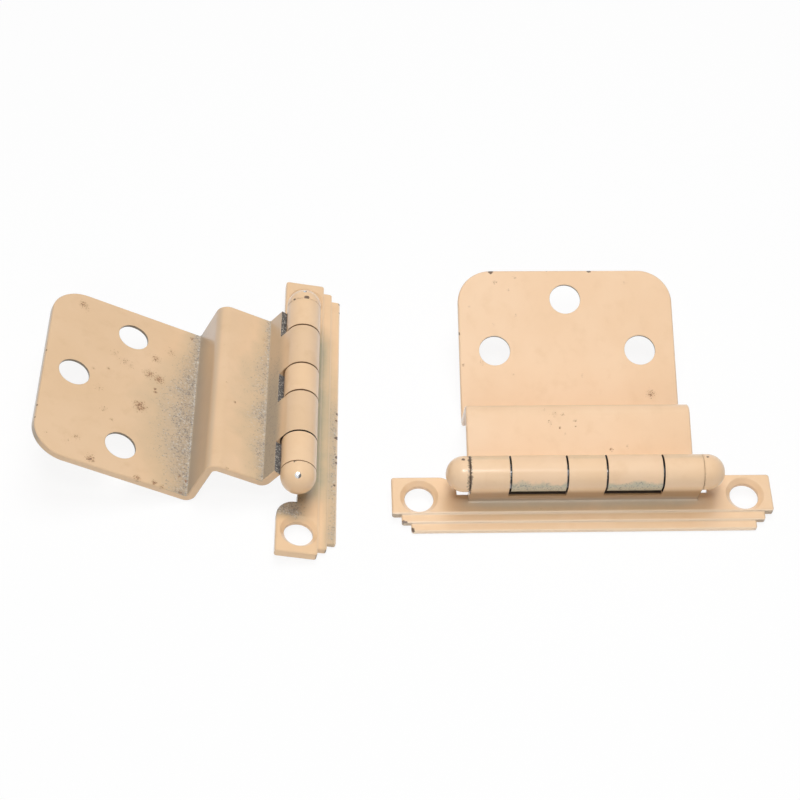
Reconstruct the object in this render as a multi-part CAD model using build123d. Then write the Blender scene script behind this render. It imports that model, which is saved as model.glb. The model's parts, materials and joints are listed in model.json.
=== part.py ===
from build123d import *
import os
from math import acos, asin, atan2, cos, degrees, radians, sin, sqrt, tan

# Pair of offset cabinet hinges for inset lipped doors, lying on a table, part opened.
# Each hinge has its own frame while it is built: the barrel's axis is Y, the frame leaf
# lies towards +X and the door leaf towards -X, both closed, with +Z up.

# Sheet, barrel and pin
SHEET = 1.5
BARREL_RADIUS = 3.25
PIN_CLEARANCE = 0.05
CURL_GAP = 0.25
BEND_RADIUS = 0.4
EDGE_BREAK = 0.2

# Knuckles, along the barrel
CENTRE_KNUCKLE = 7.14
DOOR_KNUCKLE = 10.24
KNUCKLE_GAP = 0.35
SLOT_CLEARANCE = 1.05

# Dome tips that close the barrel
TIP_COLLAR = 1.05
TIP_STEM = 3.0
PIN_END_GAP = 0.2
STEM_CLEARANCE = 0.02

# Frame leaf, with two end ears and three shallow terraces along its outer edge
FRAME_LENGTH = 69.85
FRAME_REACH = 8.14
FRAME_AXIS_HEIGHT = 5.69
WALL_FOOT = 2.30
EAR_REACH = 2.92
EAR_WIDTH = 11.875
EAR_ROUND = 3.4
RELIEF_GAP = 2.0
TERRACES = 3
TERRACE_WIDTH = 1.7
TERRACE_INSET = 1.7
TERRACE_DROP = 0.35
TERRACE_CORNER = 0.5
FRAME_HOLE_INSET = 4.995
FRAME_HOLE_X = 1.31
FRAME_HOLE_DIAMETER = 5.3
COUNTERSINK_DIAMETER = 7.0
COUNTERSINK_ANGLE = 90.0

# Door leaf, folded in two steps so that it passes behind the door's lip
DOOR_WIDTH = 41.77
DOOR_AXIS_HEIGHT = 5.41
DOOR_OFFSET = 9.99
FACE_STRIP_NEAR = 4.64
FACE_STRIP_WIDTH = 10.49
RIDGE_RADIUS = 2.3
DOOR_PLATE_LENGTH = 30.09
DOOR_PLATE_CORNER = 6.5
DOOR_HOLE_DIAMETER = 6.0
DOOR_SINK_DIAMETER = 8.0
DOOR_HOLE_SPACING = 28.16
DOOR_HOLE_ROW = 13.60
THIRD_HOLE_ROW = 24.12

# How the pair lies: opened from closed, turned on the table, and where each barrel's middle is
LEFT_OPENING = 16.4
RIGHT_OPENING = 16.4
LEFT_TURN = 2.4
RIGHT_TURN = -86.1
LEFT_X = -18.57
LEFT_Y = -6.06
RIGHT_X = 34.08
RIGHT_Y = -24.40

# Sizes that follow from the ones above
bore_radius = BARREL_RADIUS - SHEET
pin_radius = bore_radius - PIN_CLEARANCE
centre_end = CENTRE_KNUCKLE / 2
door_end = centre_end + DOOR_KNUCKLE
barrel_end = FRAME_LENGTH / 2 - EAR_WIDTH - RELIEF_GAP
frame_hole_spacing = FRAME_LENGTH - 2 * FRAME_HOLE_INSET
slot_radius = BARREL_RADIUS + SLOT_CLEARANCE
plate_bottom = -FRAME_AXIS_HEIGHT - SHEET
bend_back = WALL_FOOT - SHEET
bend_front = WALL_FOOT + 2 * BEND_RADIUS
face_strip_far = FACE_STRIP_NEAR + FACE_STRIP_WIDTH
door_plate_face = -DOOR_AXIS_HEIGHT - DOOR_OFFSET
frame_foot = Vector(WALL_FOOT, -FRAME_AXIS_HEIGHT)
door_valley = Vector(-FACE_STRIP_NEAR, -DOOR_AXIS_HEIGHT)
curl_closing = degrees(acos(bore_radius / BARREL_RADIUS) + CURL_GAP / BARREL_RADIUS)


def prism(face, start, end):
    """A section drawn in X and Z, run along the barrel from start to end."""
    return extrude(Plane.XZ.offset(-end) * face, end - start)


def curl_start(foot, turn):
    """Angle on the barrel where a wall that rises from foot runs on to it; turn is +1 or -1."""
    return degrees(atan2(foot.Y, foot.X) + turn * acos(BARREL_RADIUS / foot.length))


def curl_tangent(foot, turn):
    """The point where that wall runs on to the barrel."""
    angle = radians(curl_start(foot, turn))
    return Vector(BARREL_RADIUS * cos(angle), BARREL_RADIUS * sin(angle))


def slot_edge(foot, turn):
    """Where the wall stops beside a knuckle of the other leaf, clear of that knuckle."""
    tangent = curl_tangent(foot, turn)
    return tangent + (foot - tangent).normalized() * sqrt(slot_radius ** 2 - BARREL_RADIUS ** 2)


def eye_section(foot, turn):
    """A knuckle's section: the wall from just below the slot's edge, and the eye rolled from it."""
    start = curl_start(foot, turn)
    sweep = turn * (360 - curl_closing)
    outer = CenterArc((0, 0), BARREL_RADIUS, start, sweep)
    inner = CenterArc((0, 0), bore_radius, start, sweep)
    ring = make_face([outer, inner, Line(outer @ 0, inner @ 0), Line(outer @ 1, inner @ 1)])
    tangent = curl_tangent(foot, turn)
    low = slot_edge(foot, turn) + (foot - tangent).normalized() * SHEET
    across = (inner @ 0) - (outer @ 0)
    wall = make_face(Polyline(low, tangent, tangent + across, low + across, close=True))
    return ring + wall


def sheet_section(path, side):
    """A bent sheet's section: its visible face, and the other face a sheet away."""
    return make_face(offset(path, SHEET, kind=Kind.INTERSECTION, side=side, closed=True))


def at_wall(point):
    """Whether a point of the plate's rim lies where the bend of the wall carries on from it."""
    slack = EDGE_BREAK / 2
    return point.X < bend_front + slack and abs(point.Y) < barrel_end + slack


def broken_rim(slab):
    """The slab with its upper rim broken, apart from the stretch along the wall."""
    top = slab.faces().sort_by(Axis.Z)[-1]
    return chamfer([edge for edge in top.edges() if not at_wall(edge.center())], EDGE_BREAK)


def ear_plan(side):
    """One end of the plate, back to the ear's edge, with its large inner corner."""
    front = (bend_back + bend_front) / 2
    middle = Pos((front - EAR_REACH) / 2, side * (FRAME_LENGTH - EAR_WIDTH) / 2)
    plan = middle * Rectangle(front + EAR_REACH, EAR_WIDTH)
    back_corners = plan.vertices().group_by(Axis.X)[0].sort_by(lambda corner: abs(corner.Y))
    plan = fillet(back_corners[0], EAR_ROUND)
    outer_corner = plan.vertices().sort_by_distance(back_corners[1])[0]
    return fillet(outer_corner, TERRACE_CORNER)


def plate_plan():
    """The plate's highest terrace: a strip in front of the wall, and an ear at each end."""
    front = FRAME_REACH - (TERRACES - 1) * TERRACE_WIDTH
    strip = Pos((bend_back + front) / 2, 0) * Rectangle(front - bend_back, FRAME_LENGTH)
    strip = fillet(strip.vertices().group_by(Axis.X)[-1], TERRACE_CORNER)
    strip -= Pos((bend_back + bend_front) / 2, 0) * Rectangle(bend_front - bend_back, 2 * barrel_end)
    return strip + ear_plan(-1) + ear_plan(1)


def terrace_plan(step):
    """A lower terrace, shorter than the one before it and reaching further out."""
    front = FRAME_REACH - (TERRACES - 1 - step) * TERRACE_WIDTH
    width = TERRACE_WIDTH + 2 * EDGE_BREAK
    plan = Pos(front - width / 2, 0) * Rectangle(width, FRAME_LENGTH - 2 * step * TERRACE_INSET)
    return fillet(plan.vertices().group_by(Axis.X)[-1], TERRACE_CORNER)


def screw_cutter(hole, head):
    """A countersunk screw hole with the head's rim on the face that it stands on."""
    sink_depth = (head - hole) / 2 / tan(radians(COUNTERSINK_ANGLE / 2))
    shank = Pos(0, 0, -SHEET / 2) * Cylinder(hole / 2, 3 * SHEET)
    sink = Pos(0, 0, -sink_depth / 2) * Cone(hole / 2, head / 2, sink_depth)
    return shank + sink


def frame_plate():
    """The plate and its terraces on one flat underside, with the screw holes in the ears."""
    plans = [plate_plan()] + [terrace_plan(step) for step in range(1, TERRACES)]
    slabs = []
    for step, plan in enumerate(plans):
        height = SHEET - step * TERRACE_DROP
        slabs.append(broken_rim(extrude(Plane.XY.offset(plate_bottom) * plan, height)))
    plate = slabs[0] + slabs[1:]
    screw_hole = screw_cutter(FRAME_HOLE_DIAMETER, COUNTERSINK_DIAMETER)
    for end in (-1, 1):
        plate -= Pos(FRAME_HOLE_X, end * frame_hole_spacing / 2, -FRAME_AXIS_HEIGHT) * screw_hole
    return plate


def frame_leaf():
    """Plate, the low wall bent up along its back, and the three knuckles rolled from that wall."""
    plate_end = Vector(bend_front, -FRAME_AXIS_HEIGHT)
    path = FilletPolyline(plate_end, frame_foot, slot_edge(frame_foot, 1), radius=BEND_RADIUS)
    leaf = frame_plate() + prism(sheet_section(path, Side.LEFT), -barrel_end, barrel_end)
    half_gap = KNUCKLE_GAP / 2
    spans = [(-barrel_end, -door_end - half_gap), (half_gap - centre_end, centre_end - half_gap),
             (door_end + half_gap, barrel_end)]
    return leaf + [prism(eye_section(frame_foot, 1), start, end) for start, end in spans]


def broken_edges(fold):
    """The fold with its cut edges broken, along both sides and round the screw plate's far end."""
    sides = fold.faces().filter_by(Axis.Y)
    corners = fold.faces().filter_by(GeomType.CYLINDER).group_by(Axis.X)[0]
    far_end = fold.faces().filter_by(Axis.X).sort_by(Axis.X)[:1]
    cut_faces = sides + corners + far_end
    borders = [edge for face in cut_faces for edge in face.edges()]
    through_sheet = [edge for edge in borders if abs(edge.length - SHEET) < EDGE_BREAK / 2 and
                     edge.geom_type == GeomType.LINE]
    return chamfer([edge for edge in borders if edge not in through_sheet], EDGE_BREAK)


def door_holes():
    """Middles of the screw plate's holes: a pair near the fold, and one further out between them."""
    near = -face_strip_far - DOOR_HOLE_ROW
    far = -face_strip_far - THIRD_HOLE_ROW
    return [(near, -DOOR_HOLE_SPACING / 2), (near, DOOR_HOLE_SPACING / 2), (far, 0)]


def door_leaf():
    """One folded sheet: screw plate, step, face strip, riser, and two knuckles rolled from it."""
    far_edge = (-face_strip_far - DOOR_PLATE_LENGTH, door_plate_face)
    valley = (-face_strip_far, door_plate_face)
    ridge = (-face_strip_far, -DOOR_AXIS_HEIGHT)
    path = FilletPolyline(far_edge, valley, ridge, door_valley, slot_edge(door_valley, -1),
                          radius=[BEND_RADIUS, RIDGE_RADIUS, BEND_RADIUS])
    leaf = prism(sheet_section(path, Side.RIGHT), -DOOR_WIDTH / 2, DOOR_WIDTH / 2)
    corners = leaf.edges().filter_by(Axis.Z).group_by(Axis.X)[0]
    leaf = broken_edges(fillet(corners, DOOR_PLATE_CORNER))
    half_gap = KNUCKLE_GAP / 2
    spans = [(-door_end + half_gap, -centre_end - half_gap), (centre_end + half_gap, door_end - half_gap)]
    leaf += [prism(eye_section(door_valley, -1), start, end) for start, end in spans]
    screw_hole = Rot(180, 0, 0) * screw_cutter(DOOR_HOLE_DIAMETER, DOOR_SINK_DIAMETER)
    for x, y in door_holes():
        leaf -= Pos(x, y, door_plate_face - SHEET) * screw_hole
    return leaf


def hinge_pin():
    """A plain pin, trapped between the two tips' stems."""
    half = barrel_end - TIP_STEM - PIN_END_GAP
    return Rot(90, 0, 0) * Cylinder(pin_radius, 2 * half)


def tip(end):
    """A dome on a short collar, with a stem that sits in the barrel's end."""
    dome = CenterArc((0, TIP_COLLAR), BARREL_RADIUS, 0, 90)
    rim = Polyline((0, TIP_COLLAR + BARREL_RADIUS), (0, 0), (BARREL_RADIUS, 0), (BARREL_RADIUS, TIP_COLLAR))
    cap = revolve(make_face([dome, rim]), Axis.Y)
    seat = cap.faces().sort_by(Axis.Y)[0]
    cap = chamfer(seat.edges(), EDGE_BREAK)
    stem = Pos(0, -TIP_STEM / 2, 0) * Rot(90, 0, 0) * Cylinder(bore_radius - STEM_CLEARANCE, TIP_STEM)
    turned = Rot(0, 0, 0) if end > 0 else Rot(0, 0, 180)
    return turned * Pos(0, barrel_end, 0) * (cap + stem)


def table_tilt(opening):
    """Angle of the frame leaf when its outer edge and the door leaf's fold both rest on the table."""
    fold_centre = Vector(-face_strip_far - BEND_RADIUS, door_plate_face + BEND_RADIUS)
    turn = radians(opening)
    fold_x = fold_centre.X * cos(turn) + fold_centre.Y * sin(turn)
    fold_z = -fold_centre.X * sin(turn) + fold_centre.Y * cos(turn)
    across = FRAME_REACH - fold_x
    above = fold_z - plate_bottom
    return degrees(asin((BEND_RADIUS + SHEET) / sqrt(across ** 2 + above ** 2)) - atan2(above, across))


def table_height(tilt):
    """Height of the barrel's axis above the table, with the frame leaf's outer edge on it."""
    return FRAME_REACH * sin(radians(tilt)) - plate_bottom * cos(radians(tilt))


def laid_hinge(name, opening, turn, place, tip_names):
    """One hinge's pieces, opened and lying on the table."""
    tilt = table_tilt(opening)
    lying = Pos(*place, table_height(tilt)) * Rot(0, 0, turn) * Rot(0, tilt, 0)
    pieces = {
        "frame_leaf": frame_leaf(),
        "door_leaf": Rot(0, opening, 0) * door_leaf(),
        "hinge_pin": hinge_pin(),
        tip_names[0]: tip(1),
        tip_names[1]: tip(-1),
    }
    return {f"{name}_{piece}": lying * solid for piece, solid in pieces.items()}


def hinge_pair():
    """Both hinges' pieces, lying where the photograph shows them."""
    pieces = laid_hinge("left", LEFT_OPENING, LEFT_TURN, (LEFT_X, LEFT_Y), ("far_tip", "near_tip"))
    pieces |= laid_hinge("right", RIGHT_OPENING, RIGHT_TURN, (RIGHT_X, RIGHT_Y), ("right_tip", "left_tip"))
    return pieces


def over_origin(pieces):
    """The move that brings the middle of the pair's box over the origin, with the table at zero."""
    box = Compound(list(pieces.values())).bounding_box()
    return Pos(-box.center().X, -box.center().Y, -box.min.Z)


def main():
    os.makedirs("parts", exist_ok=True)
    pieces = hinge_pair()
    move = over_origin(pieces)
    for name, solid in pieces.items():
        export_step(move * solid, f"parts/{name}.step")


if __name__ == "__main__":
    main()
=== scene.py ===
import json
import math

import bpy
from mathutils import Matrix, Vector

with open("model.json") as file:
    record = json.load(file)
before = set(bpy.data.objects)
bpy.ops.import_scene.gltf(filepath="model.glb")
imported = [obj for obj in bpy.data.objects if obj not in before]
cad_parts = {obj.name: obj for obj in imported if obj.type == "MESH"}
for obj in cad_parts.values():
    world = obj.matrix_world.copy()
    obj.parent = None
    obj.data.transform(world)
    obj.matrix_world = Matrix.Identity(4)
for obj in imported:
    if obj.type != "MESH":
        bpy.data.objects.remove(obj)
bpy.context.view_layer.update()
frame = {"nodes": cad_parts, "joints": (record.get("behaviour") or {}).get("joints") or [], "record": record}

MM = 0.001

# Places in each hinge's own frame, in millimetres: the pin's middle is the origin, Y runs along the barrel,
# X goes from the barrel to the frame leaf's outer edge, and Z stands up from the leaf.
FOLD_X = -15.13
STRIP_MIDDLE_X = -10.0
RISER_X = -5.0
VALLEY_X = -4.64
DOOR_PLATE_Z = -15.4
DOOR_STRIP_Z = -5.41
DOOR_HOLES = ((-28.73, 14.08), (-28.73, -14.08), (-39.25, 0.0))
FRAME_OUTER_X = 8.14
FRAME_PLATE_Z = -5.69
TERRACE_WIDTH = 1.7
WALL_FOOT_X = 2.30
WALL_OUTSIDE_X = 3.8
WALL_END_Y = 21.0
SLOT_SHADE_X = 2.3
SLOT_OUTER_X = 3.4
CORNER_END_Y = 25.0
NEAR_EAR_ROOT_Y = -25.5
TIP_SEAM_Y = 21.05

# Squares of distances, in square millimetres, over which a mark begins or ends.
BARREL_SKIN = (13.5, 12.0)
SLOT_CUT_INSIDE = (9.0, 10.2)
SLOT_CUT_OUTSIDE = (22.0, 19.5)
HOLE_RIM = (10.0, 9.2)

# Directions in that frame that the finishes ask for.
UP = (0, 0, 1)
ALONG_BARREL = (0, 1, 0)
STEP_FACE = (-1, 0, 0)
RISER_FACE = (-0.97, 0, 0.23)
SLOT_CUT_FACE = (0.23, 0, 0.97)
WALL_FACE = (1, 0, -0.15)
TERRACE_EDGE_FACE = (0.6, 0, 0.8)
TERRACE_EDGE_LEAN = (0.35, 0, 0.94)

# The paint's sheen, its fine orange peel and the soft edges it gives the sheet and its terraces. Lengths are
# in millimetres.
SATIN = 0.34
PAINT_SHINE = 0.4
GLOSS_COAT = 0.6
GLOSS_ROUGHNESS = 0.18
ORANGE_PEEL = 0.02
ROUNDED_EDGE = 0.3
TERRACE_LEAN_SHARE = 0.85

# What marks do to the sheen and to the surface's height.
PATCH_ROUGHNESS = 0.08
SPECK_ROUGHNESS = 0.15
RUST_ROUGHNESS = 0.25
GRIME_ROUGHNESS = 0.3
BARE_POLISH = 0.12
SPECK_DEPTH = 0.5
RUST_HEIGHT = 0.4

# How far each mark covers what lies below it, from 0 to 1.
OLIVE_COVER = 0.75
THIN_COVER = 0.7
PALE_SPECK_COVER = 0.8
DARK_SPECK_COVER = 0.75
RUST_COVER = 0.8
RUST_CORE_COVER = 0.85
RUST_CLOUD_COVER = 0.25
CHIP_COVER = 0.9
RISER_SPECK_COVER = 0.5
KNUCKLE_FILM_COVER = 0.85
KNUCKLE_SPECK_COVER = 0.8
HOLE_WALL_COVER = 0.85
FOOT_LINE_AND_HIGHLIGHT_COVER = 0.4
OUTER_HIGHLIGHT_COVER = 0.8
SEAM_DIRT_COVER = 0.85


def srgb(red, green, blue):
    """A colour as it is seen on a screen, 0 to 255, as Blender's linear colour."""
    def linear(part):
        part = part / 255
        return part / 12.92 if part <= 0.04045 else ((part + 0.055) / 1.055) ** 2.4
    return (linear(red), linear(green), linear(blue), 1.0)


# Each hinge's paint: its main tone, a paler cloud and a deeper one. The left hinge's tones are deeper as
# painted shade, its door leaf's most, for how the light falls on it.
LEFT_PAINT_AND_SHADE = (srgb(236, 199, 157), srgb(239, 204, 164), srgb(229, 190, 148))
LEFT_DOOR_PAINT_AND_SHADE = (srgb(226, 191, 151), srgb(230, 196, 158), srgb(219, 183, 142))
RIGHT_PAINT = (srgb(238, 202, 162), srgb(241, 207, 170), srgb(232, 194, 153))
RIGHT_DOOR_PAINT = (srgb(238, 202, 164), srgb(241, 207, 171), srgb(232, 195, 155))

# What lies over the paint or shows through it, and the painted shade and painted highlights laid on it.
CORNER_FILM_AND_SHADE = srgb(173, 165, 137)
RISER_FILM_AND_SHADE = srgb(169, 153, 132)
KNUCKLE_FILM = srgb(190, 186, 162)
PAINTED_WALL_SHADE = srgb(178, 140, 99)
PAINTED_EDGE_HIGHLIGHT = srgb(250, 224, 194)
OLIVE_FILM = srgb(204, 178, 142)
THIN_PAINT = srgb(164, 155, 142)
BARE_SLATE = srgb(116, 112, 112)
BARE_PALE = srgb(206, 202, 192)
RUST = srgb(146, 98, 60)
RUST_DARK = srgb(78, 54, 38)
GRIME_AND_SHADE = srgb(44, 32, 25)
SEAM_BROWN = srgb(160, 124, 90)
SLATE = srgb(92, 91, 92)
HOLE_WALL = srgb(104, 98, 84)
STEEL = srgb(206, 208, 210)


class Value:
    """A number that varies over a surface. Arithmetic on it adds Math nodes."""

    def __init__(self, nodes, socket):
        self.nodes = nodes
        self.socket = socket

    def __add__(self, other):
        return self.nodes.math("ADD", self, other)

    def __radd__(self, other):
        return self.nodes.math("ADD", other, self)

    def __sub__(self, other):
        return self.nodes.math("SUBTRACT", self, other)

    def __rsub__(self, other):
        return self.nodes.math("SUBTRACT", other, self)

    def __mul__(self, other):
        return self.nodes.math("MULTIPLY", self, other)

    def __rmul__(self, other):
        return self.nodes.math("MULTIPLY", other, self)

    def __truediv__(self, other):
        return self.nodes.math("DIVIDE", self, other)

    def __abs__(self):
        return self.nodes.math("ABSOLUTE", self)

    def most(self, other):
        return self.nodes.math("MAXIMUM", self, other)

    def least(self, other):
        return self.nodes.math("MINIMUM", self, other)

    def rise(self, low, high):
        """0 up to low, 1 from high on and smooth between; with low above high it falls instead."""
        settings = {"interpolation_type": "SMOOTHSTEP", "clamp": True}
        ends = {"From Min": min(low, high), "From Max": max(low, high)}
        risen = self.nodes.add("ShaderNodeMapRange", settings, {"Value": self, **ends})
        return risen if low < high else 1 - risen

    def between(self, first, last):
        """The first number where this is 0 and the last where it is 1."""
        return self * (last - first) + first


class Nodes:
    """A node tree, and the ways to add to it."""

    def __init__(self, tree):
        self.tree = tree
        self.tree.nodes.clear()

    def feed(self, socket, value):
        """Links a value to a socket, or sets the socket to a plain number or colour."""
        if isinstance(value, Value):
            self.tree.links.new(value.socket, socket)
        else:
            socket.default_value = value

    def add(self, kind, settings, sockets, output=0):
        """Adds any node: its settings first, then the values or links of its sockets."""
        node = self.tree.nodes.new(kind)
        for name, value in settings.items():
            setattr(node, name, value)
        for key, value in sockets.items():
            self.feed(node.inputs[key], value)
        return Value(self, node.outputs[output]) if node.outputs else None

    def math(self, operation, *values):
        return self.add("ShaderNodeMath", {"operation": operation}, dict(enumerate(values)))

    def blend(self, factor, first, second):
        """The first colour where factor is 0 and the second where it is 1."""
        settings = {"data_type": "RGBA", "clamp_factor": True}
        return self.add("ShaderNodeMix", settings, {0: factor, 6: first, 7: second}, 2)

    def lean(self, factor, first, second):
        """The first direction where factor is 0 and the second where it is 1."""
        settings = {"data_type": "VECTOR", "clamp_factor": True}
        return self.add("ShaderNodeMix", settings, {0: factor, 4: first, 5: second}, 1)

    def seen_directly(self):
        """1 on what the camera, a mirror or a glass sees, 0 on what only lights the object."""
        rays = ("Is Camera Ray", "Is Glossy Ray", "Is Transmission Ray")
        camera, glossy, through = (self.add("ShaderNodeLightPath", {}, {}, ray) for ray in rays)
        return camera.most(glossy).most(through)


class HingeFrame:
    """Where a leaf of one hinge lies, from the record's joint and seat."""

    def __init__(self, hinge, seat, up):
        joint = next(j for j in frame["joints"] if j["name"] == hinge)
        mount = next(m for m in frame["record"]["mounts"] if m["name"] == seat)
        along = -Vector(joint["axis"]).normalized()
        above = (up * Vector(mount["axis"])).normalized()
        across = along.cross(above).normalized()
        self.origin = Vector(joint["pos_m"])
        self.turn = Matrix((across, along, across.cross(along))).transposed()


class Finish(Nodes):
    """A material on one piece, with the hinge's own millimetres as coordinates."""

    def __init__(self, name, where):
        self.material = bpy.data.materials.new(name)
        self.material.use_nodes = True
        super().__init__(self.material.node_tree)
        self.shader = self.tree.nodes.new("ShaderNodeBsdfPrincipled")
        surface = Value(self, self.shader.outputs["BSDF"])
        self.add("ShaderNodeOutputMaterial", {}, {"Surface": surface})
        self.turn = where.turn
        seen = self.add("ShaderNodeTexCoord", {}, {}, "Object")
        sockets = {
            "Vector": seen,
            "Location": where.origin,
            "Rotation": where.turn.to_euler("XYZ"),
            "Scale": (MM, MM, MM),
        }
        self.place = self.add("ShaderNodeMapping", {"vector_type": "TEXTURE"}, sockets)
        self.x, self.y, self.z = (
            self.add("ShaderNodeSeparateXYZ", {}, {"Vector": self.place}, axis) for axis in "XYZ"
        )

    def facing(self, direction):
        """How far the surface faces a direction of the hinge's frame, from -1 to 1."""
        normal = self.add("ShaderNodeTexCoord", {}, {}, "Normal")
        way = self.turn @ Vector(direction).normalized()
        return self.add("ShaderNodeVectorMath", {"operation": "DOT_PRODUCT"}, {0: normal, 1: way}, "Value")

    def noise(self, per_millimetre, detail=2.0, roughness=0.5, shift=(0, 0, 0)):
        """Cloudy noise in the hinge's millimetres, about 0.5 on average."""
        moved = self.add("ShaderNodeVectorMath", {"operation": "ADD"}, {0: self.place, 1: shift})
        sockets = {"Vector": moved, "Scale": per_millimetre, "Detail": detail, "Roughness": roughness}
        return self.add("ShaderNodeTexNoise", {}, sockets)

    def distance(self, point):
        """Millimetres from a point of the hinge's frame."""
        return self.add("ShaderNodeVectorMath", {"operation": "DISTANCE"}, {0: self.place, 1: point}, "Value")

    def heat(self, spots):
        """How strong a mark is, from (point, reach, strength): most at each point, 0 from its reach on."""
        most = 0.0
        for point, reach, strength in spots:
            most = ((1 - self.distance(point) / reach) * strength).most(most)
        return most

    def patches(self, shift):
        """Broad uneven patches, from about -0.5 to 0.5."""
        return self.noise(0.25, 3.0, 0.6, shift) - 0.5

    def speckle(self, per_millimetre, shift=(0, 0, 0)):
        """Fine specks, about 0.5 on average."""
        return self.noise(per_millimetre, 3.0, 0.7, shift)

    def orange_peel(self):
        """The paint's fine waves, as a height."""
        return self.noise(1.1, 2.0) * 0.5

    def paint(self, tones):
        """Satin spray paint with faint clouds."""
        main, pale, deep = tones
        colour = self.blend(self.noise(0.09, 3.0).rise(0.35, 0.7), main, pale)
        return self.blend(self.noise(0.3, 4.0, 0.6, (17, 3, 5)).rise(0.48, 0.8) * 0.6, colour, deep)

    def thin_coat(self, colour, thin):
        """Grey metal that shows through a thin coat: an olive film, a grey one, then pale and dark specks."""
        dark = self.speckle(2.8, (3, 11, 7)) - 0.5
        pale = self.speckle(2.4, (31, 5, 13)) - 0.5
        colour = self.blend(thin.rise(0.0, 0.6) * OLIVE_COVER, colour, OLIVE_FILM)
        colour = self.blend(thin.rise(0.45, 1.0) * THIN_COVER, colour, THIN_PAINT)
        pale_specks = (pale + thin * 0.22 - 0.2).rise(0.0, 0.16) * thin.rise(0.2, 0.9)
        dark_specks = (dark + thin * 0.24 - 0.2).rise(0.0, 0.16) * thin.rise(0.05, 0.7)
        colour = self.blend(pale_specks * PALE_SPECK_COVER, colour, BARE_PALE)
        return self.blend(dark_specks * DARK_SPECK_COVER, colour, BARE_SLATE), dark_specks

    def rusted(self, colour, heat):
        """Rust that breaks through in sprays of small dots, darkest in the middle."""
        grain = self.noise(2.7, 3.0, 0.8, (5, 23, 2)) - 0.5
        cloud = heat.rise(0.2, 1.0) * RUST_CLOUD_COVER
        stain = (heat * 0.7 + grain * 2.2).rise(0.42, 0.6) * heat.rise(0.0, 0.12)
        core = (heat * 0.75 + grain * 2.2).rise(0.7, 0.88) * heat.rise(0.0, 0.15)
        colour = self.blend(cloud.most(stain * RUST_COVER), colour, RUST)
        return self.blend(core * RUST_CORE_COVER, colour, RUST_DARK), stain

    def chipped(self, colour, spots):
        """Small chips down to dark metal."""
        grain = self.speckle(2.0, (13, 1, 37)) - 0.5
        chip = (self.heat(spots) + grain).rise(0.4, 0.55)
        return self.blend(chip * CHIP_COVER, colour, RUST_DARK)

    def knuckle_seams(self, colour, darkest):
        """Grime and painted shade on the knuckles' ends, which show as dark lines round the barrel; darkest
        is (y, reach).
        """
        darkest_y, reach = darkest
        near_barrel = (self.x * self.x + self.z * self.z).rise(*BARREL_SKIN)
        seam = abs(self.facing(ALONG_BARREL)).rise(0.8, 0.95) * near_barrel
        shade = self.blend(abs(self.y - darkest_y).rise(reach, reach + 1.0), GRIME_AND_SHADE, SEAM_BROWN)
        return self.blend(seam, colour, shade), seam

    def sheen(self, patch, specks, seam):
        """The paint's roughness, a little uneven and duller where specks or grime show."""
        return SATIN + patch * PATCH_ROUGHNESS + specks * SPECK_ROUGHNESS + seam * GRIME_ROUGHNESS

    def towards(self, direction):
        """A direction of the hinge's frame, as a normal that turns with the leaf."""
        settings = {"vector_type": "NORMAL", "convert_from": "OBJECT", "convert_to": "WORLD"}
        way = self.turn @ Vector(direction).normalized()
        return self.add("ShaderNodeVectorTransform", settings, {"Vector": way})

    def rounded(self):
        """The normal with thick paint's soft edges."""
        return self.add("ShaderNodeBevel", {"samples": 4}, {"Radius": ROUNDED_EDGE * MM})

    def finished(self, colour, roughness, height, normal):
        """Joins the colour, the sheen and the paint's fine orange peel to the shader."""
        bump = {"Strength": 1.0, "Distance": ORANGE_PEEL * MM, "Height": height, "Normal": normal}
        self.shader.inputs["Specular IOR Level"].default_value = PAINT_SHINE
        self.shader.inputs["Coat Weight"].default_value = GLOSS_COAT
        self.shader.inputs["Coat Roughness"].default_value = GLOSS_ROUGHNESS
        self.feed(self.shader.inputs["Base Color"], colour)
        self.feed(self.shader.inputs["Roughness"], roughness)
        self.feed(self.shader.inputs["Normal"], self.add("ShaderNodeBump", {}, bump))
        return self.material


def marks(height, *spots):
    """Marks on a flat face at that height, from (x, y, reach, strength)."""
    return [((x, y, height), reach, strength) for x, y, reach, strength in spots]


LEFT_RUST = marks(
    DOOR_PLATE_Z,
    (-39.4, 18.0, 1.7, 0.9), (-38.6, 17.0, 1.4, 0.55), (-16.9, 19.1, 0.9, 0.9), (-20.9, 13.5, 2.2, 0.62),
    (-23.7, 10.4, 1.9, 0.8), (-32.0, 8.0, 1.6, 0.6), (-29.8, 7.0, 1.9, 0.68), (-28.7, 6.4, 1.5, 0.62),
    (-32.9, 3.8, 0.6, 1.0), (-35.8, 2.6, 0.8, 0.75), (-24.8, 5.8, 2.5, 0.78), (-22.8, 5.4, 2.1, 0.9),
    (-23.4, 2.6, 0.6, 1.2), (-23.2, 1.8, 0.6, 1.2), (-25.9, -3.0, 2.5, 0.95), (-34.2, -1.8, 1.7, 0.5),
    (-32.7, -6.7, 1.4, 0.62), (-31.0, -8.5, 0.8, 0.7), (-37.1, -15.5, 1.6, 0.52), (-38.9, -17.1, 1.4, 0.48),
    (-34.0, -19.5, 1.6, 0.95), (-24.9, -20.4, 1.4, 0.92), (-21.6, -20.2, 0.9, 1.1), (-20.1, -20.6, 0.9, 0.85),
    (-16.9, -16.8, 0.7, 0.9), (-15.6, -17.5, 0.7, 0.9), (-16.3, -20.6, 0.8, 0.9), (-42.8, -16.7, 0.9, 0.5),
)
LEFT_STRIP_RUST = marks(
    DOOR_STRIP_Z,
    (-11.0, -3.9, 0.5, 1.3), (-5.9, 15.2, 1.1, 0.62), (-13.8, 10.2, 0.5, 0.75), (-12.9, 0.4, 0.4, 0.8),
    (-11.7, -20.6, 0.8, 0.8),
)
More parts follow.
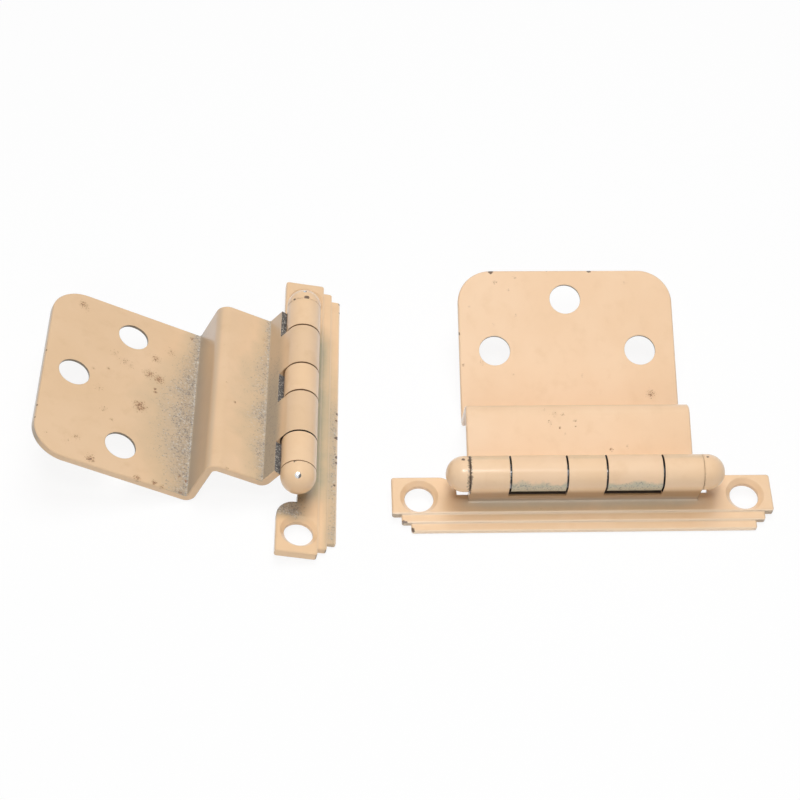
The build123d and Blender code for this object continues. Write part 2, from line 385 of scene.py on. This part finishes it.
LEFT_CHIPS = marks(DOOR_PLATE_Z, (-45.2, -11.0, 0.5, 0.9), (-45.2, -14.0, 0.4, 0.9), (-45.1, 3.0, 0.4, 0.8))
RIGHT_RUST = marks(
    DOOR_PLATE_Z,
    (-19.8, 15.7, 1.7, 0.85), (-42.9, -13.6, 0.8, 0.75), (-37.8, -18.7, 0.5, 0.8), (-25.9, -20.2, 0.5, 1.1),
    (-26.2, -16.6, 1.2, 0.55), (-35.9, -9.7, 0.6, 0.65), (-41.2, -11.0, 0.7, 0.62), (-42.7, 11.8, 1.1, 0.5),
    (-23.6, 2.6, 0.6, 0.68), (-23.9, -10.7, 0.5, 0.7), (-34.0, -14.0, 0.8, 0.5), (-43.8, -9.6, 0.7, 0.6),
)
RIGHT_STRIP_RUST = marks(
    DOOR_STRIP_Z,
    (-13.7, -6.3, 0.6, 0.8), (-13.0, -4.4, 1.2, 0.6), (-12.7, -2.9, 0.9, 0.55), (-11.3, -5.3, 1.1, 0.58),
    (-10.2, -3.5, 0.5, 0.95), (-11.6, -0.6, 0.8, 0.6), (-10.4, -0.6, 0.4, 0.85), (-9.0, -2.6, 0.5, 0.7),
    (-5.9, 5.8, 0.7, 0.8), (-6.5, 8.8, 0.6, 0.7),
)
RIGHT_CHIPS = marks(
    DOOR_PLATE_Z,
    (-45.1, -14.3, 0.9, 1.0), (-45.2, 5.0, 0.8, 1.0), (-45.2, -3.3, 0.4, 0.8), (-32.3, -20.9, 0.6, 0.9),
)
RIGHT_FRAME_CHIPS = marks(
    FRAME_PLATE_Z - 0.3,
    (6.5, -33.1, 0.9, 1.1), (6.5, -32.5, 0.7, 1.0), (8.0, -31.6, 1.3, 1.3), (4.1, -7.8, 0.5, 1.0),
    (2.7, -1.6, 0.5, 0.9), (3.6, 14.2, 0.5, 0.9), (8.1, 22.0, 0.5, 0.9), (8.1, -24.6, 0.5, 0.9),
)
LEFT_FRAME_CHIPS = marks(
    FRAME_PLATE_Z - 0.7,
    (8.1, 31.0, 0.6, 0.9), (8.1, 28.5, 0.5, 0.9), (8.1, 0.5, 0.7, 0.9), (8.0, -5.7, 0.8, 1.0),
    (8.0, -10.5, 0.7, 1.0), (8.0, -12.0, 0.7, 0.9), (7.8, -1.2, 0.6, 0.8), (7.6, -17.5, 0.6, 0.8),
)


def reach_along(y, far, middle, near, far_slope, near_slope):
    """A reach that grows from a fold's far end to its middle and shrinks again towards its near end."""
    return y.rise(*far_slope).between(far, middle) - y.rise(*near_slope) * (middle - near)


def door_leaf_finish(name, where, tones, rust, chips, darkest_seam, thin_and_shade_at_folds, thin_on_knuckles):
    """A folded door leaf: paint worn thin at its folds or knuckles, grey film and painted shade on the step
    and riser, rust spots, chips and dark seams.
    """
    finish = Finish(name, where)
    x, y, z = finish.x, finish.y, finish.z
    faces_up = finish.facing(UP)
    patch = finish.patches((7, 7, 1))

    # Thin paint on the screw plate beside the fold, and on the face strip beside the valley.
    fold_reach = reach_along(
        y, far=4.5, middle=15.0, near=9.0, far_slope=(20.0, 0.0), near_slope=(-9.0, -21.0),
    )
    on_plate = z.rise(DOOR_PLATE_Z + 1.4, DOOR_PLATE_Z + 0.6) * x.rise(FOLD_X + 0.6, FOLD_X + 0.4)
    at_fold = (1 - (FOLD_X - x) / fold_reach + patch * 0.4).most(0.0) * on_plate
    valley_reach = reach_along(
        y, far=4.0, middle=10.0, near=6.5, far_slope=(18.0, 3.0), near_slope=(-8.0, -20.0),
    )
    on_strip = x.rise(FOLD_X + 1.0, FOLD_X + 2.0) * x.rise(VALLEY_X + 1.2, VALLEY_X)
    at_valley = (0.85 - (VALLEY_X - x) / valley_reach + patch * 0.6).most(0.0) * on_strip
    thin = (at_fold + at_valley) * faces_up.rise(0.15, 0.6)

    # A grey film with painted shade on the step's wall, deepest low down, and a speckled one, also with
    # painted shade, on the riser up to the barrel.
    step = finish.facing(STEP_FACE).rise(0.6, 0.9) * x.rise(STRIP_MIDDLE_X + 2.0, STRIP_MIDDLE_X - 2.0)
    step_film_and_shade = step * z.rise(-9.0, -15.0).between(0.35, 0.8)
    riser = finish.facing(RISER_FACE).rise(0.7, 0.9) * x.rise(RISER_X - 1.0, RISER_X) * z.rise(0.0, -2.5)
    riser_film_and_shade = riser * y.rise(11.0, -1.0).between(0.45, 1.0)
    riser_specks = finish.speckle(2.4, (5, 1, 9)).rise(0.5, 0.68) * riser * y.rise(14.0, 4.0)
    colour = finish.blend((step_film_and_shade + riser_film_and_shade) * thin_and_shade_at_folds, finish.paint(tones), RISER_FILM_AND_SHADE)
    colour, specks = finish.thin_coat(colour, (thin * thin_and_shade_at_folds).least(1.0))
    colour = finish.blend(riser_specks * thin_and_shade_at_folds * RISER_SPECK_COVER, colour, BARE_SLATE)

    # A speckled film low on the front of the knuckles.
    band = x.rise(0.8, 1.8) * (z + patch * 3.0).rise(2.6, 1.7) * thin_on_knuckles
    band_specks = finish.speckle(2.8, (3, 11, 7)).rise(0.52, 0.66) * band
    colour = finish.blend(band * KNUCKLE_FILM_COVER, colour, KNUCKLE_FILM)
    colour = finish.blend(band_specks * KNUCKLE_SPECK_COVER, colour, BARE_SLATE)

    colour, stain = finish.rusted(colour, finish.heat(rust))
    colour = finish.chipped(colour, chips)
    colour, seam = finish.knuckle_seams(colour, darkest_seam)

    # Bare steel on the cut edges of the slots behind the other leaf's knuckles.
    from_axis = x * x + z * z
    cut = finish.facing(SLOT_CUT_FACE).rise(0.9, 0.97) * z.rise(0.0, -1.0)
    cut = cut * from_axis.rise(*SLOT_CUT_INSIDE) * from_axis.rise(*SLOT_CUT_OUTSIDE)
    cut_steel = finish.blend(finish.speckle(3.0).rise(0.48, 0.7), SLATE, BARE_PALE)
    colour = finish.blend(cut, colour, cut_steel)

    # Dark walls inside the screw holes.
    upright = (1 - abs(faces_up).rise(0.3, 0.6)) * x.rise(FOLD_X, FOLD_X - 1.0)
    for hole_x, hole_y in DOOR_HOLES:
        away = (x - hole_x) * (x - hole_x) + (y - hole_y) * (y - hole_y)
        colour = finish.blend(away.rise(*HOLE_RIM) * upright * HOLE_WALL_COVER, colour, HOLE_WALL)

    roughness = finish.sheen(patch, specks, seam) + stain * RUST_ROUGHNESS
    height = finish.orange_peel() - specks * SPECK_DEPTH + stain * RUST_HEIGHT
    return finish.finished(colour, roughness, height, finish.rounded())


def frame_leaf_finish(
    name, where, tones, chips, darkest_seam,
    thin_outside, thin_on_knuckles, corner_film_and_shade, film_and_shade_end_x, step_highlight, ragged_end,
):
    """A terraced frame leaf: a film with painted shade in the corner below the barrel, painted shade on the
    low wall and slots, painted highlights on the edges, chips and dark seams.
    """
    finish = Finish(name, where)
    x, y, z = finish.x, finish.y, finish.z
    faces_up = finish.facing(UP)
    not_under = faces_up.rise(-0.6, -0.2)
    patch = finish.patches((9, 4, 1))

    # Thin paint along the outer terraces, at the root of the near ear and high on the back of the knuckles.
    on_plate = z.rise(FRAME_PLATE_Z + 0.5, FRAME_PLATE_Z) * not_under
    outside = x.rise(FRAME_OUTER_X - 3.6, FRAME_OUTER_X - 0.6) * y.rise(20.0, -2.0)
    outside = outside * (0.85 + patch) * on_plate
    ear_root = y.rise(NEAR_EAR_ROOT_Y - 3.0, NEAR_EAR_ROOT_Y) * y.rise(-WALL_END_Y, -WALL_END_Y - 1.0)
    ear_root = ear_root * x.rise(5.0, 0.0) * z.rise(-1.0, -2.5) * not_under * (1.1 + patch)
    knuckle = z.rise(0.8, 2.2) * x.rise(-0.6, -1.6) * (0.75 + patch)
    thin = ((outside + ear_root) * thin_outside + knuckle * thin_on_knuckles).least(1.0)
    colour, specks = finish.thin_coat(finish.paint(tones), thin)

    # An olive film with painted shade in the corner, painted shade on the low wall under the barrel, and a
    # pale line at its foot that is partly bare metal through thin paint and partly a painted highlight on the
    # bend.
    corner = abs(y).rise(CORNER_END_Y, CORNER_END_Y - 8.0) * z.rise(-4.8, -5.4) * not_under
    corner = x.rise(film_and_shade_end_x, WALL_FOOT_X + 0.6) * corner * (0.9 + patch)
    wall = finish.facing(WALL_FACE).rise(0.75, 0.95) * x.rise(WALL_OUTSIDE_X + 0.4, WALL_OUTSIDE_X)
    wall = wall * z.rise(-0.5, -2.5) * abs(y).rise(WALL_END_Y + 0.4, WALL_END_Y)
    foot_line_and_highlight = x.rise(WALL_FOOT_X + 1.9, WALL_FOOT_X + 0.5) * x.rise(WALL_FOOT_X - 1.1, WALL_FOOT_X)
    foot_line_and_highlight = foot_line_and_highlight * abs(y).rise(CORNER_END_Y, CORNER_END_Y - 7.0) * z.rise(-3.5, -5.6)
    colour = finish.blend(corner * corner_film_and_shade, colour, CORNER_FILM_AND_SHADE)
    colour = finish.blend(wall, colour, PAINTED_WALL_SHADE)
    colour = finish.blend(foot_line_and_highlight * FOOT_LINE_AND_HIGHLIGHT_COVER, colour, BARE_PALE)

    # Painted shade on the slots' cut edges, in the wall's darker tone, near black on their inner part.
    slot = faces_up.rise(0.7, 0.9) * x.rise(SLOT_OUTER_X + 0.2, SLOT_OUTER_X)
    slot = slot * z.rise(-5.2, -4.8) * z.rise(-1.5, -2.0)
    colour = finish.blend(slot, colour, PAINTED_WALL_SHADE)
    colour = finish.blend(slot * x.rise(SLOT_SHADE_X + 0.2, SLOT_SHADE_X), colour, GRIME_AND_SHADE)

    # Painted highlights on the terraces' rounded edges and along the outer edge.
    first, second = (abs(x - (FRAME_OUTER_X - TERRACE_WIDTH * step)) for step in (1, 2))
    from_edge = first.least(second)
    on_step = finish.facing(TERRACE_EDGE_FACE).rise(0.0, 0.4)
    on_step = on_step * z.rise(FRAME_PLATE_Z + 0.4, FRAME_PLATE_Z + 0.2)
    edge = from_edge.rise(0.34, 0.26) * on_step
    outer_highlight = x.rise(FRAME_OUTER_X - 0.3, FRAME_OUTER_X - 0.15)
    colour = finish.blend(from_edge.rise(0.2, 0.12) * on_step * step_highlight, colour, PAINTED_EDGE_HIGHLIGHT)
    colour = finish.blend(outer_highlight * OUTER_HIGHLIGHT_COVER, colour, PAINTED_EDGE_HIGHLIGHT)

    colour = finish.chipped(colour, chips)
    colour, seam = finish.knuckle_seams(colour, darkest_seam)

    # A ragged dark end where the last knuckle meets its tip.
    ends = finish.noise(1.6, 3.0, 0.75, (2, 2, 8)) - 0.5
    ragged = (ends * 1.4 - y).rise(TIP_SEAM_Y - 0.3, TIP_SEAM_Y - 0.1) * y.rise(-22.0, -21.2)
    ragged = ragged * z.rise(-2.5, -2.0) * ragged_end
    colour = finish.blend(ragged * SEAM_DIRT_COVER, colour, GRIME_AND_SHADE)

    normal = finish.lean(edge * TERRACE_LEAN_SHARE, finish.rounded(), finish.towards(TERRACE_EDGE_LEAN))
    height = finish.orange_peel() - specks * SPECK_DEPTH
    return finish.finished(colour, finish.sheen(patch, specks, seam), height, normal)


def tip_finish(name, where, tones, side, seam_dirt, chips, bare_spot=None):
    """A painted dome tip, chipped or worn to bright metal in one place; side is the end that it closes."""
    finish = Finish(name, where)
    out = finish.y * side
    grain = finish.noise(1.6, 3.0, 0.75, (2, 2, 8))
    seam = (out + (0.5 - grain) * 1.6).rise(TIP_SEAM_Y + 0.15 + seam_dirt * 0.5, TIP_SEAM_Y + 0.1)
    colour = finish.blend(seam * seam_dirt * SEAM_DIRT_COVER, finish.paint(tones), GRIME_AND_SHADE)
    colour = finish.chipped(colour, chips)
    roughness = SATIN
    if bare_spot:
        middle = bare_spot[0]
        bare = finish.heat([bare_spot]).rise(0.35, 0.5)
        # The bare spot is painted darker on one side as shade.
        painted_shade_side = (finish.x - middle[0]).rise(0.0, 0.25)
        colour = finish.blend(bare, colour, finish.blend(painted_shade_side, STEEL, SLATE))
        finish.feed(finish.shader.inputs["Metallic"], bare)
        roughness = SATIN - bare * BARE_POLISH
    return finish.finished(colour, roughness, finish.orange_peel(), finish.rounded())


def pin_finish(name, where):
    """Drawn steel with fine lines along the pin."""
    finish = Finish(name, where)
    drawn = finish.add("ShaderNodeMapping", {}, {"Vector": finish.place, "Scale": (6.0, 0.2, 6.0)})
    lines = finish.add("ShaderNodeTexNoise", {}, {"Vector": drawn, "Scale": 1.0, "Detail": 3.0})
    finish.shader.inputs["Metallic"].default_value = 1.0
    colour = finish.blend(lines.rise(0.3, 0.7), SLATE, STEEL)
    return finish.finished(colour, 0.3 + lines * 0.25, lines, finish.rounded())


left_frame = HingeFrame("left_hinge", "left_frame_seat", -1)
left_door = HingeFrame("left_hinge", "left_door_seat", 1)
right_frame = HingeFrame("right_hinge", "right_frame_seat", -1)
right_door = HingeFrame("right_hinge", "right_door_seat", 1)

# Marks on the tips, as (point, reach, strength).
LEFT_NEAR_BARE = ((-0.4, -24.1, 2.53), 1.0, 1.0)
LEFT_FAR_BARE = ((-0.35, 23.2, 3.03), 0.6, 1.0)
LEFT_NEAR_CHIPS = [((-1.2, -21.3, 3.0), 0.6, 0.8)]
LEFT_FAR_CHIPS = [((0.0, 21.4, 3.2), 0.9, 1.1), ((-2.3, 21.3, 2.3), 0.5, 0.9)]
RIGHT_RIGHT_CHIPS = [((-1.4, 21.9, 2.93), 0.45, 1.1)]
RIGHT_LEFT_CHIPS = [((-1.2, -22.3, 3.02), 0.55, 1.2)]

# Where along the barrel the seams are darkest, and how far from there: one on the left, all on the right.
LEFT_SEAM = (-13.81, 1.0)
RIGHT_SEAM = (0.0, 30.0)

finishes = {
    "left_door_leaf": door_leaf_finish(
        "left_door_paint", left_door, LEFT_DOOR_PAINT_AND_SHADE, LEFT_RUST + LEFT_STRIP_RUST, LEFT_CHIPS,
        LEFT_SEAM, thin_and_shade_at_folds=1.0, thin_on_knuckles=0.0,
    ),
    "right_door_leaf": door_leaf_finish(
        "right_door_paint", right_door, RIGHT_DOOR_PAINT, RIGHT_RUST + RIGHT_STRIP_RUST, RIGHT_CHIPS,
        RIGHT_SEAM, thin_and_shade_at_folds=0.1, thin_on_knuckles=1.0,
    ),
    "left_frame_leaf": frame_leaf_finish(
        "left_frame_paint", left_frame, LEFT_PAINT_AND_SHADE, LEFT_FRAME_CHIPS, LEFT_SEAM,
        thin_outside=0.85, thin_on_knuckles=0.0, corner_film_and_shade=1.3, film_and_shade_end_x=8.3,
        step_highlight=0.2, ragged_end=0.0,
    ),
    "right_frame_leaf": frame_leaf_finish(
        "right_frame_paint", right_frame, RIGHT_PAINT, RIGHT_FRAME_CHIPS, RIGHT_SEAM,
        thin_outside=0.0, thin_on_knuckles=0.45, corner_film_and_shade=0.5, film_and_shade_end_x=6.0,
        step_highlight=0.8, ragged_end=1.0,
    ),
    "left_far_tip": tip_finish(
        "left_far_tip_paint", left_frame, LEFT_PAINT_AND_SHADE, 1, 0.3, LEFT_FAR_CHIPS, LEFT_FAR_BARE,
    ),
    "left_near_tip": tip_finish(
        "left_near_tip_paint", left_frame, LEFT_PAINT_AND_SHADE, -1, 0.4, LEFT_NEAR_CHIPS, LEFT_NEAR_BARE,
    ),
    "right_right_tip": tip_finish(
        "right_right_tip_paint", right_frame, RIGHT_PAINT, 1, 0.15, RIGHT_RIGHT_CHIPS,
    ),
    "right_left_tip": tip_finish(
        "right_left_tip_paint", right_frame, RIGHT_PAINT, -1, 1.0, RIGHT_LEFT_CHIPS,
    ),
    "left_hinge_pin": pin_finish("left_pin_steel", left_frame),
    "right_hinge_pin": pin_finish("right_pin_steel", right_frame),
}
for node, material in finishes.items():
    for slot in frame["nodes"][node].material_slots:
        slot.material = material


# The studio: a pale floor, a white room, a large soft lamp overhead, a smaller key lamp that gives the
# paint its highlight, and a soft fill from the front. Lengths are in metres.
WHITE = (1, 1, 1, 1)
FLOOR_SEEN = srgb(250, 250, 250)
FLOOR_BOUNCE = srgb(248, 248, 247)
FLOOR_SIZE = 4.0
FLOOR_HEIGHT = -0.0002
FLOOR_GLOW = 0.9
ROOM_LOW = 0.03
ROOM_HIGH = 0.12


def floor_finish():
    """A pale paper floor that the camera sees nearly white, with the object's shadow left in."""
    material = bpy.data.materials.new("floor_paper")
    material.use_nodes = True
    nodes = Nodes(material.node_tree)
    seen = nodes.seen_directly()
    paper = nodes.add("ShaderNodeBsdfDiffuse", {}, {"Color": nodes.blend(seen, FLOOR_BOUNCE, FLOOR_SEEN)})
    glow = nodes.add("ShaderNodeEmission", {}, {"Color": WHITE, "Strength": 1.0})
    mixed = nodes.add("ShaderNodeMixShader", {}, {0: seen * FLOOR_GLOW, 1: paper, 2: glow})
    nodes.add("ShaderNodeOutputMaterial", {}, {"Surface": mixed})
    return material


def white_room():
    """White walls that the camera sees plain white; their light is stronger from above."""
    world = bpy.data.worlds.new("white_room")
    world.use_nodes = True
    nodes = Nodes(world.node_tree)
    way = nodes.add("ShaderNodeTexCoord", {}, {}, "Generated")
    height = nodes.add("ShaderNodeSeparateXYZ", {}, {"Vector": way}, "Z")
    strength = height.rise(0.0, 0.9) * (ROOM_HIGH - ROOM_LOW) + ROOM_LOW
    lighting = nodes.add("ShaderNodeBackground", {}, {"Color": WHITE, "Strength": strength})
    wall = nodes.add("ShaderNodeBackground", {}, {"Color": WHITE, "Strength": 1.0})
    mixed = nodes.add("ShaderNodeMixShader", {}, {0: nodes.seen_directly(), 1: lighting, 2: wall})
    nodes.add("ShaderNodeOutputWorld", {}, {"Surface": mixed})
    return world


def soft_lamp(name, place, size, watts, mirrored):
    """A round soft lamp aimed at the hinges; one that is not mirrored leaves no highlight on the paint."""
    lamp = bpy.data.lights.new(name, "AREA")
    lamp.shape = "DISK"
    lamp.size = size
    lamp.energy = watts
    stand = bpy.data.objects.new(name, lamp)
    stand.location = place
    stand.visible_glossy = mirrored
    stand.rotation_euler = (-Vector(place)).to_track_quat("-Z", "Y").to_euler()
    bpy.context.scene.collection.objects.link(stand)


bpy.ops.mesh.primitive_plane_add(size=FLOOR_SIZE, location=(0, 0, FLOOR_HEIGHT))
floor = bpy.context.object
floor.name = "floor"
floor.data.materials.append(floor_finish())
bpy.context.scene.world = white_room()
soft_lamp("overhead_softbox", (0.02, 0.1, 0.5), size=0.35, watts=1.65, mirrored=False)
soft_lamp("small_key", (0.0, -0.2, 0.48), size=0.14, watts=0.72, mirrored=True)
soft_lamp("front_fill", (0.0, -0.6, 0.3), size=0.4, watts=0.8, mirrored=False)

# The camera, fitted to the photograph's viewing angle.
VIEW_ELEVATION = math.radians(46.204)
VIEW_DISTANCE = 0.364184
VIEW_ROLL = math.radians(2.438)
VIEW_TARGET = Vector((-0.001031, 0.006069, 0.0))
LENS = 84.96
SENSOR = 36.0

eye = bpy.data.cameras.new("photo_camera")
eye.lens = LENS
eye.sensor_width = SENSOR
eye.clip_start = 0.01
eye.clip_end = 20.0
camera = bpy.data.objects.new("photo_camera", eye)
ahead = Vector((0, math.cos(VIEW_ELEVATION), -math.sin(VIEW_ELEVATION)))
upward = Vector((0, math.sin(VIEW_ELEVATION), math.cos(VIEW_ELEVATION)))
sideways = Vector((1, 0, 0))
camera_right = sideways * math.cos(VIEW_ROLL) + upward * math.sin(VIEW_ROLL)
camera_up = upward * math.cos(VIEW_ROLL) - sideways * math.sin(VIEW_ROLL)
turned = Matrix((camera_right, camera_up, -ahead)).transposed().to_4x4()
camera.matrix_world = Matrix.Translation(VIEW_TARGET - ahead * VIEW_DISTANCE) @ turned
bpy.context.scene.collection.objects.link(camera)
bpy.context.scene.camera = camera
bpy.context.scene.view_settings.view_transform = "Standard"
